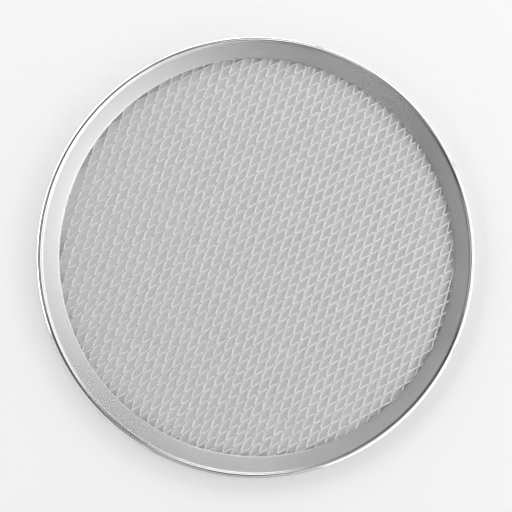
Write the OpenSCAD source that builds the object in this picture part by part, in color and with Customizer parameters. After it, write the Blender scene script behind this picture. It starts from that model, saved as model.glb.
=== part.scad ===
// Round pizza screen: a disc of expanded aluminium mesh, held all round
// in the fold of a one-piece aluminium rim with a rounded outer bead.
// The rim's flat underside rests on z = 0 and its axis is the Z axis.

/* [Screen] */
// Outside diameter over the bead of the rim
outer_d = 254; // [180:1:420]

/* [Rim] */
// Width of the rim seen from above, from its outer edge to its inner lip
rim_w = 12.7; // [10:0.1:18]
// Height of the rim over the bead
rim_h = 5.2; // [4.8:0.1:8]
// Thickness of the sheet that the rim is folded from
rim_sheet_t = 0.8; // [0.5:0.05:1]
// Outer diameter of the two bends that make the bead
bead_d = 4.3; // [3.6:0.1:4.8]
// Place of the crease where the band meets the bead, as an angle from the top of the bead
crease_angle = 35; // [25:1:50]
// Width of the flat inside the lip that presses on the mesh
lip_land_w = 1.2; // [0.6:0.1:2.5]
// How much narrower the lower flange is than the upper band
flange_setback = 0.4; // [0:0.1:1.5]

/* [Mesh] */
// Height of the expanded mesh, over its tilted strands
mesh_t = 1.6; // [1:0.1:2]
// Length of one diamond of the mesh, bond to bond
long_pitch = 13; // [10:0.1:20]
// Width of one diamond of the mesh, bond to bond
short_pitch = 5.6; // [4.5:0.1:9]
// Width of one strand of the mesh
strand_w = 1; // [0.7:0.05:1.5]
// How far the strands of one lean stand proud of the others, above and below
strand_step = 0.3; // [0.1:0.05:0.5]
// Direction of the long way of the diamonds
mesh_angle = 50.5; // [0:0.5:180]
// How far the bond nearest the middle lies from it, along the long way
bond_shift_long = -3.8; // [-6:0.1:6]
// How far the bond nearest the middle lies from it, along the short way
bond_shift_short = -0.6; // [-3:0.1:3]
// Distance that the edge of the mesh reaches into the rim, past the lip
mesh_tuck = 6; // [2.5:0.1:6.5]

/* [Hidden] */
$fn = 96;

outer_r = outer_d / 2;
lip_r = outer_r - rim_w;
flange_r = lip_r + flange_setback;
mesh_r = lip_r + mesh_tuck;

bead_r = bead_d / 2;
bead_x = outer_r - bead_r;
crease_x = bead_x - bead_r * sin(crease_angle);
crease_z = rim_h - bead_r + bead_r * cos(crease_angle);

mesh_z = rim_sheet_t;
lip_z = mesh_z + mesh_t;
band_slope = atan((crease_z - lip_z - rim_sheet_t) / (crease_x - lip_r));

// The strands lean this far to each side of the long way
strand_lean = atan(short_pitch / long_pitch);
strand_spacing = long_pitch * sin(strand_lean);
// The last strand on each side lies this far out, still long enough to cross others
strand_reach = mesh_r - short_pitch / 2;
// Cuts and what is cut to shape run this much past the edge
trim = 2;

// Section of the fold: flange, bead and band as one bent sheet
module rim_section() {
    bead_in_d = bead_d - 2 * rim_sheet_t;
    under = rim_sheet_t / cos(band_slope);
    difference() {
        union() {
            translate([bead_x, bead_r]) circle(d = bead_d);
            translate([bead_x, rim_h - bead_r]) circle(d = bead_d);
            translate([bead_x, bead_r]) square([bead_r, rim_h - bead_d]);
            polygon([
                [flange_r, 0],
                [bead_x, 0],
                [bead_x, crease_z],
                [crease_x, crease_z],
                [lip_r, lip_z + rim_sheet_t],
                [lip_r, rim_sheet_t],
                [flange_r, rim_sheet_t]
            ]);
        }
        translate([bead_x, bead_r]) circle(d = bead_in_d);
        translate([bead_x, rim_h - bead_r]) circle(d = bead_in_d);
        translate([bead_x, bead_r]) square([bead_in_d / 2, rim_h - bead_d]);
        polygon([
            [lip_r - trim, rim_sheet_t],
            [bead_x, rim_sheet_t],
            [bead_x, rim_h - bead_r],
            [crease_x, crease_z - under],
            [lip_r + lip_land_w, lip_z + lip_land_w * tan(band_slope)],
            [lip_r + lip_land_w, lip_z],
            [lip_r - trim, lip_z]
        ]);
    }
}

module rim() {
    color("silver")
        rotate_extrude() rim_section();
}

// Parallel strands at one lean, cut off at the round edge of the mesh
module strands(lean) {
    shift = bond_shift_short * cos(lean) - bond_shift_long * sin(lean);
    first = ceil((-strand_reach - shift) / strand_spacing);
    last = floor((strand_reach - shift) / strand_spacing);
    intersection() {
        circle(r = mesh_r);
        rotate(mesh_angle + lean)
            for (k = [first:last])
                translate([-mesh_r - trim, shift + k * strand_spacing - strand_w / 2])
                    square([2 * (mesh_r + trim), strand_w]);
    }
}

module mesh() {
    color("gainsboro")
        translate([0, 0, mesh_z]) {
            linear_extrude(mesh_t - strand_step)
                strands(strand_lean);
            translate([0, 0, strand_step])
                linear_extrude(mesh_t - strand_step)
                    strands(-strand_lean);
        }
}

rim();
mesh();
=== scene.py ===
"""Looks of the pizza screen: rim, expanded mesh, floor, studio light and camera.

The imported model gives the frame. Shapes are worked out in millimetres, as are all lengths named _MM.
Materials and lamps use metres.
"""

import math

import bpy
import numpy as np
from mathutils import Matrix, Vector


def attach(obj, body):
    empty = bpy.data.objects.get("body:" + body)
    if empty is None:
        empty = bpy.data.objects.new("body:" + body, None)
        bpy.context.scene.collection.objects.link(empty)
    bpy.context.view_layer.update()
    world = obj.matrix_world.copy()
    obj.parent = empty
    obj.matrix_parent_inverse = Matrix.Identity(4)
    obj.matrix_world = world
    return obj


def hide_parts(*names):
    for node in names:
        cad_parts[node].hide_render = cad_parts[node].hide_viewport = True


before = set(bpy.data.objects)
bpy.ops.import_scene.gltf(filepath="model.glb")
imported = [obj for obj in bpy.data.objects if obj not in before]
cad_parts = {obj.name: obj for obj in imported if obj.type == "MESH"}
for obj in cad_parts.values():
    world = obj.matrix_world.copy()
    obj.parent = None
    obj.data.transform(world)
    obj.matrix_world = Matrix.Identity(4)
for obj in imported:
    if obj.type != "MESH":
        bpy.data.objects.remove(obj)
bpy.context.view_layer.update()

MM = 0.001

# Sizes of the rim, as in the solid model
OUTER_R_MM = 127.0
LIP_R_MM = 114.3
FLANGE_R_MM = 114.7
RIM_H_MM = 5.2
SHEET_MM = 0.8
BEAD_R_MM = 2.15
CREASE_ANGLE = math.radians(35)
LIP_LAND_MM = 1.2

# Sizes of the mesh, as in the solid model
MESH_Z_MM = 0.8
MESH_T_MM = 1.6
LONG_MM = 13.0
SHORT_MM = 5.6
MESH_ANGLE = math.radians(50.5)
BOND_SHIFT_MM = (-3.8, -0.6)
MESH_R_MM = 120.3


def new_object(name, verts_mm, faces, loop_totals=None):
    """A mesh object from points in millimetres and faces, given as one array or as a flat list of loops."""
    mesh = bpy.data.meshes.new(name)
    verts = np.asarray(verts_mm, dtype=np.float64) * MM
    mesh.vertices.add(len(verts))
    mesh.vertices.foreach_set("co", verts.ravel())
    if loop_totals is None:
        faces = np.asarray(faces)
        loop_totals = np.full(len(faces), faces.shape[1])
        faces = faces.ravel()
    starts = np.concatenate([[0], np.cumsum(loop_totals)[:-1]])
    mesh.loops.add(len(faces))
    mesh.loops.foreach_set("vertex_index", faces)
    mesh.polygons.add(len(loop_totals))
    mesh.polygons.foreach_set("loop_start", starts)
    mesh.polygons.foreach_set("loop_total", loop_totals)
    mesh.update(calc_edges=True)
    mesh.validate()
    obj = bpy.data.objects.new(name, mesh)
    bpy.context.scene.collection.objects.link(obj)
    return obj


# The rim

RIM_SEGMENTS = 960
RIM_SHARP_ANGLE = math.radians(50)
CUT_ROUND_MM = 0.05
# The band's own points lie between these shares of the way from lip to crease
BAND_SHARES = (0.04, 0.94)
BAND_STEPS = 16
# The crease is a small hollow round: how far before the crease it starts, and how far it lifts its two points
CREASE_BLEND_MM = 0.35
CREASE_LIFTS_MM = (0.01, 0.03)
# The bead starts this many radians past the crease
BEAD_START = 0.2


def arc(centre, radius, start, end, steps):
    """Points round a circle in the (r, z) plane, from angle start to end in radians."""
    angles = np.linspace(start, end, steps)
    return [(centre[0] + radius * math.cos(a), centre[1] + radius * math.sin(a)) for a in angles]


def rim_profile():
    """The closed section of the folded sheet: lip, band, bead, flange and back inside the fold."""
    bead_x = OUTER_R_MM - BEAD_R_MM
    top_z = RIM_H_MM - BEAD_R_MM
    inner_r = BEAD_R_MM - SHEET_MM
    edge = CUT_ROUND_MM
    lip_z = MESH_Z_MM + MESH_T_MM
    crease = (bead_x - BEAD_R_MM * math.sin(CREASE_ANGLE), top_z + BEAD_R_MM * math.cos(CREASE_ANGLE))
    slope = math.atan((crease[1] - lip_z - SHEET_MM) / (crease[0] - LIP_R_MM))
    half = math.pi / 2
    pts = []
    # Lip, with its cut edge rounded
    pts += arc((LIP_R_MM + edge, lip_z + edge), edge, 3 * half, math.pi, steps=4)
    pts += arc((LIP_R_MM + edge, lip_z + SHEET_MM - edge), edge, math.pi, half + slope, steps=5)
    # Band, in even steps up to the crease
    for share in np.linspace(*BAND_SHARES, BAND_STEPS):
        r = LIP_R_MM + share * (crease[0] - LIP_R_MM)
        pts.append((r, lip_z + SHEET_MM + (r - LIP_R_MM) * math.tan(slope)))
    # Crease, then the bead over its top and down its outside
    lift_before, lift_at = CREASE_LIFTS_MM
    before = crease[1] - CREASE_BLEND_MM * math.tan(slope)
    pts.append((crease[0] - CREASE_BLEND_MM, before + lift_before))
    pts.append((crease[0], crease[1] + lift_at))
    pts += arc((bead_x, top_z), BEAD_R_MM, half + CREASE_ANGLE - BEAD_START, 0, steps=22)
    pts += arc((bead_x, BEAD_R_MM), BEAD_R_MM, 0, -half, steps=14)
    # Flange, with its cut edge rounded
    pts += arc((FLANGE_R_MM + edge, edge), edge, -half, -math.pi, steps=4)
    pts += arc((FLANGE_R_MM + edge, SHEET_MM - edge), edge, math.pi, half, steps=4)
    # Inside of the fold
    pts += arc((bead_x, BEAD_R_MM), inner_r, -half, 0, steps=7)
    pts += arc((bead_x, top_z), inner_r, 0, half + CREASE_ANGLE, steps=9)
    pts.append((crease[0], crease[1] - SHEET_MM / math.cos(slope)))
    pts.append((LIP_R_MM + LIP_LAND_MM, lip_z + LIP_LAND_MM * math.tan(slope)))
    pts.append((LIP_R_MM + LIP_LAND_MM, lip_z))
    return np.array(pts)


def make_rim():
    """The folded ring, as its section turned round the axis."""
    profile = rim_profile()
    n = len(profile)
    turn = np.linspace(0, 2 * math.pi, RIM_SEGMENTS, endpoint=False)
    r, z = profile[:, 0], profile[:, 1]
    verts = np.stack([
        np.outer(np.cos(turn), r),
        np.outer(np.sin(turn), r),
        np.broadcast_to(z, (RIM_SEGMENTS, n)),
    ], axis=-1).reshape(-1, 3)
    i, j = np.meshgrid(np.arange(RIM_SEGMENTS), np.arange(n), indexing="ij")
    ni, nj = (i + 1) % RIM_SEGMENTS, (j + 1) % n
    faces = np.stack([i * n + j, i * n + nj, ni * n + nj, ni * n + j], axis=-1).reshape(-1, 4)
    rim = new_object("rim_shell", verts, faces)
    rim.data.shade_smooth()
    rim.data.set_sharp_from_angle(angle=RIM_SHARP_ANGLE)
    return rim


# The expanded mesh

LONG_DIR = np.array([math.cos(MESH_ANGLE), math.sin(MESH_ANGLE)])
SHORT_DIR = np.array([-math.sin(MESH_ANGLE), math.cos(MESH_ANGLE)])
MESH_SHARP_ANGLE = math.radians(60)
# The strands end this far inside the solid's edge, and the last bonds have their centres this far inside that
EDGE_INSET_MM = 0.15
LAST_BOND_MM = 1.5

# Shape of one strand. Its top is rounded off towards both edges, and its underside is narrower than its top.
STRAND_W_MM = 0.86
STRAND_T_MM = 1.45
ROUND_MM = 0.35
UNDER_INSET = 0.22
# Between bonds the edge on the far short side lies this much lower than the other
STRAND_TILT_MM = 0.04
# The sharp corners of an opening are filled this far
CORNER_WEB_MM = 0.2
# The rolled surface of the sheet is left on the bonds, out to this share of their half length, and the same
# share carries painted shade that darkens the bonds
ROLLED_AND_SHADE_REACH = 0.45
ROLLED_AND_SHADE_NAME = "bond_smooth_and_shade"
# Places of the points across a strand's top, and of the sections along a strand, as shares. Between the third
# place and the third from the end the top is flat
ACROSS = np.array([0, 0.08, 0.3, 0.7, 0.92, 1])
ALONG = (0.14, 0.86)

# Half of a bond's length and of its width
LEAN = math.atan(SHORT_MM / LONG_MM)
BOND_L_MM = STRAND_W_MM / (2 * math.sin(LEAN))
BOND_S_MM = STRAND_W_MM / (2 * math.cos(LEAN))
CORNERS = {"right": (1, 0), "top": (0, 1), "left": (-1, 0), "bottom": (0, -1)}
# A strand that leaves by a step starts on the first side of its bond and ends on the second side of the next
SIDES = {
    (1, 1): (("right", "top"), ("bottom", "left")),
    (-1, 1): (("top", "left"), ("right", "bottom")),
    (-1, -1): (("left", "bottom"), ("top", "right")),
    (1, -1): (("bottom", "right"), ("left", "top")),
}


def crown_height(from_edge):
    """Height of a strand's top, where from_edge is the distance in from its edge as a share of its width."""
    flat = ACROSS[2]
    short_of_flat = 1 - min(from_edge, flat) / flat
    return STRAND_T_MM / 2 - ROUND_MM * (1 - math.sqrt(1 - short_of_flat ** 2))


def side_ring(side):
    """Section of a strand along one side of a bond: its top from edge to edge, then the two corners below."""
    start, end = (np.array(CORNERS[name]) * (BOND_L_MM, BOND_S_MM) for name in side)
    heights = [(share, crown_height(min(share, 1 - share))) for share in ACROSS]
    heights += [(share, -STRAND_T_MM / 2) for share in (1 - UNDER_INSET, UNDER_INSET)]
    return np.array([(*(start * (1 - share) + end * share), height) for share, height in heights])


def bond_grid():
    """Points of one bond, its faces, and the ring of point numbers on each of its sides."""
    m = len(ACROSS)
    points = np.zeros((m, m, 3))
    for p, to_top in enumerate(ACROSS):
        for q, to_bottom in enumerate(ACROSS):
            long, short = 1 - to_top - to_bottom, to_top - to_bottom
            # The web sets in halfway out to the sharp corner
            web = CORNER_WEB_MM * np.sign(long) * max(0, abs(long) * 2 - 1)
            from_corner = min(to_top, 1 - to_top) + min(to_bottom, 1 - to_bottom)
            points[p, q] = (long * BOND_L_MM + web, short * BOND_S_MM, crown_height(from_corner))
    narrow = 1 - 2 * UNDER_INSET
    below = [(long * narrow * (BOND_L_MM + CORNER_WEB_MM), short * narrow * BOND_S_MM, -STRAND_T_MM / 2)
             for long, short in CORNERS.values()]
    number = np.arange(m * m).reshape(m, m)
    corner = {name: m * m + k for k, name in enumerate(CORNERS)}
    faces = [[number[p, q], number[p + 1, q], number[p + 1, q + 1], number[p, q + 1]]
             for p in range(m - 1) for q in range(m - 1)]
    faces.append([corner[name] for name in ("bottom", "left", "top", "right")])
    top_rows = {
        ("right", "top"): number[:, 0],
        ("top", "left"): number[-1, :],
        ("left", "bottom"): number[::-1, -1],
        ("bottom", "right"): number[0, ::-1],
    }
    rings = {}
    for (start, end), row in top_rows.items():
        rings[start, end] = np.array([*row, corner[end], corner[start]])
        rings[end, start] = np.array([*row[::-1], corner[start], corner[end]])
    return np.concatenate([points.reshape(-1, 3), below]), np.array(faces), rings


def bond_rolled_and_painted_shade():
    """How much of the rolled surface, and of the painted shade laid on it, is left at each point of a bond:
    all of it on its short centre line.
    """
    along = 1 - np.add.outer(ACROSS, ACROSS)
    return np.concatenate([np.clip(1 - np.abs(along) / ROLLED_AND_SHADE_REACH, 0, 1).ravel(), np.zeros(len(CORNERS))])


def lattice_bonds(radius):
    """Bonds inside a radius, as {(i, j): number} and their places along the long and short ways."""
    columns = int(2 * radius / LONG_MM) + 2
    rows = int(2 * radius / SHORT_MM) + 2
    index, places = {}, []
    for i in range(-columns, columns + 1):
        for j in range(-rows, rows + 1):
            place = (BOND_SHIFT_MM[0] + i * LONG_MM / 2, BOND_SHIFT_MM[1] + j * SHORT_MM / 2)
            if (i + j) % 2 == 0 and math.hypot(*place) < radius:
                index[i, j] = len(places)
                places.append(place)
    return index, np.array(places)


def strand_sections(step):
    """Function giving the section ring at any share of a strand that leaves a bond by one step."""
    near_side, far_side = SIDES[step]
    offset = np.array([step[0] * LONG_MM / 2, step[1] * SHORT_MM / 2, 0])
    near, far = side_ring(near_side), side_ring(far_side) + offset
    for ring in (near, far):
        place = ring[:, 1] - ring[:, 1].mean()
        ring[:, 2] -= STRAND_TILT_MM * place / np.ptp(place)
    return lambda share: near * (1 - share) + far * share


def cut_share(place, step, edge_r):
    """Share of a strand's length that lies inside the round cut edge."""
    d = np.array([step[0] * LONG_MM / 2, step[1] * SHORT_MM / 2])
    a, b, c = d @ d, 2 * place @ d, place @ place - edge_r ** 2
    return min(1.0, (-b + math.sqrt(b * b - 4 * a * c)) / (2 * a))


def make_mesh():
    """Expanded metal as one closed surface: flat bonds in rows, joined by rounded strands that tilt a little.

    Strands that reach the round cut edge stop there.
    """
    edge_r = MESH_R_MM - EDGE_INSET_MM
    index, places = lattice_bonds(edge_r - LAST_BOND_MM)
    bond_points, bond_faces, rings = bond_grid()
    per_bond = len(bond_points)
    lifted = np.column_stack([places, np.zeros(len(places))])
    verts = [(bond_points[None] + lifted[:, None]).reshape(-1, 3)]
    first_numbers = np.arange(len(places)) * per_bond
    loops = [(bond_faces[None] + first_numbers[:, None, None]).ravel()]
    totals = [np.full(len(places) * len(bond_faces), 4)]
    sections = {step: strand_sections(step) for step in SIDES}
    ring_size = len(ACROSS) + 2
    next_vertex = len(places) * per_bond
    for (i, j), start in index.items():
        for step, (near_side, far_side) in SIDES.items():
            end = index.get((i + step[0], j + step[1]))
            if end is not None and step[1] < 0:
                continue
            shares = ALONG
            if end is None:
                reach = cut_share(places[start], step, edge_r)
                shares = (ALONG[0] * reach, reach)
            ids = [rings[near_side] + start * per_bond]
            for share in shares:
                verts.append(sections[step](share) + lifted[start])
                ids.append(np.arange(ring_size) + next_vertex)
                next_vertex += ring_size
            if end is not None:
                ids.append(rings[far_side] + end * per_bond)
            for a, b in zip(ids, ids[1:]):
                loops.append(np.stack([a, b, np.roll(b, -1), np.roll(a, -1)], axis=-1).ravel())
                totals.append(np.full(ring_size, 4))
            if end is None:
                loops.append(ids[-1][::-1])
                totals.append(np.array([ring_size]))
    verts = np.concatenate(verts)
    flat = np.outer(verts[:, 0], LONG_DIR) + np.outer(verts[:, 1], SHORT_DIR)
    z = MESH_Z_MM + MESH_T_MM / 2 + verts[:, 2]
    points = np.column_stack([flat, z])
    mesh = new_object("mesh_expanded", points, np.concatenate(loops), np.concatenate(totals))
    # Share of the rolled surface, with its painted shade, at each point: the strands get none
    smooth_and_shade = np.zeros(len(verts))
    smooth_and_shade[:len(places) * per_bond] = np.tile(bond_rolled_and_painted_shade(), len(places))
    mesh.data.attributes.new(ROLLED_AND_SHADE_NAME, "FLOAT", "POINT").data.foreach_set("value", smooth_and_shade)
    mesh.data.shade_smooth()
    mesh.data.set_sharp_from_angle(angle=MESH_SHARP_ANGLE)
    return mesh


# Materials

# Noise patterns mostly lie between these values. Their scales are per metre
NOISE_RANGE = (0.3, 0.7)

RIM_TONE = 0.80
RIM_ROUGHNESS = (0.225, 0.24)
RIM_WEAR = (-0.008, 0.012)
RIM_WEAR_SCALE = 28.0
RIM_GRAIN_SCALE = 900.0
# The brushed lines are noise drawn out round the ring, where a whole radian counts as this many metres
LINE_SCALE = 1700.0
LINE_TURN = 0.006
LINE_SHARE = 0.7
RIM_ANISOTROPY = 0.5
RIM_BRUSH_TURN = 0.25
RIM_BUMP = {"distance": 0.00001, "strength": 0.02}
# Between these radii the metal passes from the band to the bead, whose roughness is lower by a factor
BEAD_RADII = (0.1232, 0.1242)
BEAD_ROUGHNESS_FACTOR = 0.55

MESH_TONE = (0.72, 0.76)
MESH_ROUGHNESS = (0.46, 0.52)
MESH_ROUGHNESS_SCALE = 35.0
MESH_GRAIN = (-0.02, 0.02)
MESH_GRAIN_SCALE = 1600.0
MESH_BUMP = {"distance": 0.00002, "strength": 0.03}
# Painted shade: the bonds' tone is multiplied by this, so they look darker between the strands
BOND_PAINTED_SHADE_FACTOR = 0.65
BOND_ROUGHNESS_FACTOR = 0.55


class Nodes:
    """Adds nodes to a material and links them by name."""

    def __init__(self, name):
        self.material = bpy.data.materials.new(name)
        self.material.use_nodes = True
        self.tree = self.material.node_tree
        self.shader = self.tree.nodes["Principled BSDF"]

    def add(self, kind, inputs=(), **settings):
        node = self.tree.nodes.new(kind)
        for key, value in settings.items():
            setattr(node, key, value)
        for key, value in dict(inputs).items():
            if isinstance(value, bpy.types.NodeSocket):
                self.tree.links.new(value, node.inputs[key])
            else:
                node.inputs[key].default_value = value
        return node

    def math(self, operation, a, b=0.0):
        return self.add("ShaderNodeMath", {0: a, 1: b}, operation=operation).outputs[0]

    def remap(self, value, low, high, new_low, new_high):
        inputs = {"Value": value, "From Min": low, "From Max": high, "To Min": new_low, "To Max": new_high}
        return self.add("ShaderNodeMapRange", inputs).outputs["Result"]

    def noise(self, vector, scale, detail=2.0, roughness=0.5):
        inputs = {"Vector": vector, "Scale": scale, "Detail": detail, "Roughness": roughness}
        return self.add("ShaderNodeTexNoise", inputs).outputs["Fac"]

    def spread(self, noise, new_range):
        return self.remap(noise, *NOISE_RANGE, *new_range)

    def times_where(self, value, share, factor):
        """The value, multiplied by the factor where the share is 1 and left alone where it is 0."""
        return self.math("MULTIPLY", value, self.remap(share, 0, 1, 1, factor))

    def link(self, value, socket):
        self.tree.links.new(value, self.shader.inputs[socket])

    def bump(self, height, distance, strength):
        inputs = {"Height": height, "Distance": distance, "Strength": strength}
        return self.add("ShaderNodeBump", inputs).outputs["Normal"]


def rim_material():
    """Satin aluminium with fine lines spun round the ring and faint cloudy wear."""
    n = Nodes("rim_aluminium_satin")
    place = n.add("ShaderNodeTexCoord").outputs["Object"]
    parts = n.add("ShaderNodeSeparateXYZ", {0: place})
    x, y, z = parts.outputs
    radius = n.math("SQRT", n.math("ADD", n.math("MULTIPLY", x, x), n.math("MULTIPLY", y, y)))
    turn = n.math("ARCTAN2", y, x)
    around = n.math("MULTIPLY", turn, LINE_TURN)
    polar = n.add("ShaderNodeCombineXYZ", {0: radius, 1: around, 2: z}).outputs[0]
    lines = n.noise(polar, LINE_SCALE)
    clouds = n.noise(place, RIM_WEAR_SCALE, detail=4.0, roughness=0.55)
    grain = n.noise(place, RIM_GRAIN_SCALE)
    n.shader.inputs["Metallic"].default_value = 1.0
    n.shader.inputs["Base Color"].default_value = (RIM_TONE, RIM_TONE, RIM_TONE, 1)
    rough = n.math("ADD", n.spread(lines, RIM_ROUGHNESS), n.spread(clouds, RIM_WEAR))
    on_bead = n.remap(radius, *BEAD_RADII, 0, 1)
    n.link(n.times_where(rough, on_bead, BEAD_ROUGHNESS_FACTOR), "Roughness")
    n.shader.inputs["Anisotropic"].default_value = RIM_ANISOTROPY
    n.shader.inputs["Anisotropic Rotation"].default_value = RIM_BRUSH_TURN
    n.link(n.add("ShaderNodeTangent", direction_type="RADIAL", axis="Z").outputs[0], "Tangent")
    height = n.math("ADD", n.math("MULTIPLY", lines, LINE_SHARE), n.math("MULTIPLY", grain, 1 - LINE_SHARE))
    n.link(n.bump(height, **RIM_BUMP), "Normal")
    return n.material


def mesh_material():
    """Sheared aluminium: matt on the strands, smoother on the rolled surface of the bonds, where painted
    shade makes the tone darker.
    """
    n = Nodes("mesh_aluminium_sheared")
    place = n.add("ShaderNodeTexCoord").outputs["Object"]
    clouds = n.noise(place, MESH_ROUGHNESS_SCALE, detail=3.0)
    grain = n.noise(place, MESH_GRAIN_SCALE, detail=3.0, roughness=0.6)
    n.shader.inputs["Metallic"].default_value = 1.0
    smooth_and_shade = n.add("ShaderNodeAttribute", attribute_name=ROLLED_AND_SHADE_NAME).outputs["Fac"]
    # Painted shade: the tone is made darker on the bonds
    tone = n.times_where(n.spread(grain, MESH_TONE), smooth_and_shade, BOND_PAINTED_SHADE_FACTOR)
    colour = n.add("ShaderNodeCombineColor", {0: tone, 1: tone, 2: tone}).outputs[0]
    n.link(colour, "Base Color")
    rough = n.math("ADD", n.spread(clouds, MESH_ROUGHNESS), n.spread(grain, MESH_GRAIN))
    n.link(n.times_where(rough, smooth_and_shade, BOND_ROUGHNESS_FACTOR), "Roughness")
    n.link(n.bump(grain, **MESH_BUMP), "Normal")
    return n.material


# Floor, light and camera

FLOOR_HALF_MM = 6000
FLOOR_SEEN = 1.0
FLOOR_BOUNCE = 0.3
WORLD_STRENGTH = 0.02
PANEL_DISTANCE = 2.0


def make_floor():
    """A plain white floor, white where the camera or a reflection sees it and greyer for bounced light."""
    corners = [(x * FLOOR_HALF_MM, y * FLOOR_HALF_MM, 0) for x, y in ((-1, -1), (1, -1), (1, 1), (-1, 1))]
    floor = new_object("floor", corners, [(0, 1, 2, 3)])
    n = Nodes("floor_white")
    n.shader.inputs["Roughness"].default_value = 1.0
    n.shader.inputs["Specular IOR Level"].default_value = 0.0
    rays = n.add("ShaderNodeLightPath").outputs
    reflected = n.math("MAXIMUM", rays["Is Glossy Ray"], rays["Is Transmission Ray"])
    seen = n.math("MAXIMUM", rays["Is Camera Ray"], reflected)
    tone = n.remap(seen, 0, 1, FLOOR_BOUNCE, FLOOR_SEEN)
    n.link(n.add("ShaderNodeCombineColor", {0: tone, 1: tone, 2: tone}).outputs[0], "Base Color")
    floor.data.materials.append(n.material)


def add_panel(name, azimuth, tilt, width, height, radiance):
    """A soft lamp aimed at the screen. All angles are in degrees, as seen from the screen's centre.

    tilt is its angle from straight above, width is across the tilt and height along it. Blender wants its
    power, which is pi times radiance and area.
    """
    light = bpy.data.lights.new(name, "AREA")
    light.shape = "RECTANGLE"
    light.size = 2 * PANEL_DISTANCE * math.tan(math.radians(width / 2))
    light.size_y = 2 * PANEL_DISTANCE * math.tan(math.radians(height / 2))
    light.energy = radiance * math.pi * light.size * light.size_y
    panel = bpy.data.objects.new(name, light)
    bpy.context.scene.collection.objects.link(panel)
    a, t = math.radians(azimuth), math.radians(tilt)
    back = Vector((math.cos(a) * math.sin(t), math.sin(a) * math.sin(t), math.cos(t)))
    across = Vector((-math.sin(a), math.cos(a), 0))
    panel.location = back * PANEL_DISTANCE
    panel.rotation_euler = Matrix((across, back.cross(across), back)).transposed().to_euler()


# Two rings of panels, a low one and a middle one, from the right side on, and how bright each panel is
LOW_RING = {"tilt": 75, "width": 42, "height": 26}
LOW_RADIANCE = (2.8, 3.0, 3.0, 3.6, 3.6, 1.0, 0.5, 2.5)
MIDDLE_RING = {"tilt": 42, "width": 34, "height": 32}
MIDDLE_RADIANCE = (0.9, 0.2, 0.3, 0.5, 0.1, 0.2, 0.6, 0.8)
# Smaller panels that the band mirrors: azimuth, tilt, width, height and radiance
SMALL_PANELS = {
    "key_right": (-12, 20, 28, 12, 1.3),
    "key_core": (-14, 15, 10, 8, 1.8),
    "soft_top": (58, 19, 12, 12, 2.3),
    "soft_upper": (42, 10, 14, 8, 0.3),
    "soft_low": (-100, 13, 10, 10, 0.8),
    "soft_left": (180, 22, 16, 12, 0.8),
}


def light_studio():
    """A little light from everywhere, and panels all round the screen."""
    world = bpy.data.worlds.new("studio")
    bpy.context.scene.world = world
    world.use_nodes = True
    background = world.node_tree.nodes["Background"]
    background.inputs["Color"].default_value = (1, 1, 1, 1)
    background.inputs["Strength"].default_value = WORLD_STRENGTH
    for prefix, ring, radiances in (
        ("low", LOW_RING, LOW_RADIANCE),
        ("middle", MIDDLE_RING, MIDDLE_RADIANCE),
    ):
        step = 360 / len(radiances)
        for k, radiance in enumerate(radiances):
            add_panel(f"{prefix}_{k}", azimuth=step * k, radiance=radiance, **ring)
    for name, panel in SMALL_PANELS.items():
        add_panel(name, *panel)


# The photograph was taken from nearly straight above, a little to the left
CAMERA_AT_MM = (-71.1, 0.0, 530.3)
CAMERA_AIM_MM = (-3.06, 0.75, 0.0)
FOCAL_PX = 926.0
IMAGE_PX = 512.0
SENSOR_MM = 36.0


def make_camera():
    """The camera, turned so that the screen's +Y is up in the picture."""
    data = bpy.data.cameras.new("camera")
    data.sensor_width = SENSOR_MM
    data.lens = FOCAL_PX / IMAGE_PX * SENSOR_MM
    data.clip_start = 0.01
    data.clip_end = 50.0
    camera = bpy.data.objects.new("camera", data)
    bpy.context.scene.collection.objects.link(camera)
    camera.location = Vector(CAMERA_AT_MM) * MM
    back = (Vector(CAMERA_AT_MM) - Vector(CAMERA_AIM_MM)).normalized()
    right = Vector((0, 1, 0)).cross(back).normalized()
    up = back.cross(right)
    camera.rotation_euler = Matrix((right, up, back)).transposed().to_euler()
    bpy.context.scene.camera = camera


rim = make_rim()
mesh = make_mesh()
for piece, node, material in ((rim, "rim", rim_material()), (mesh, "mesh", mesh_material())):
    piece.data.materials.append(material)
    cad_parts[node].data.materials.clear()
    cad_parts[node].data.materials.append(material)
    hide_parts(node)
    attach(piece, "root")
    print(piece.name, "triangles", sum(len(p.vertices) - 2 for p in piece.data.polygons))

make_floor()
make_camera()
light_studio()
bpy.context.scene.view_settings.view_transform = "Standard"
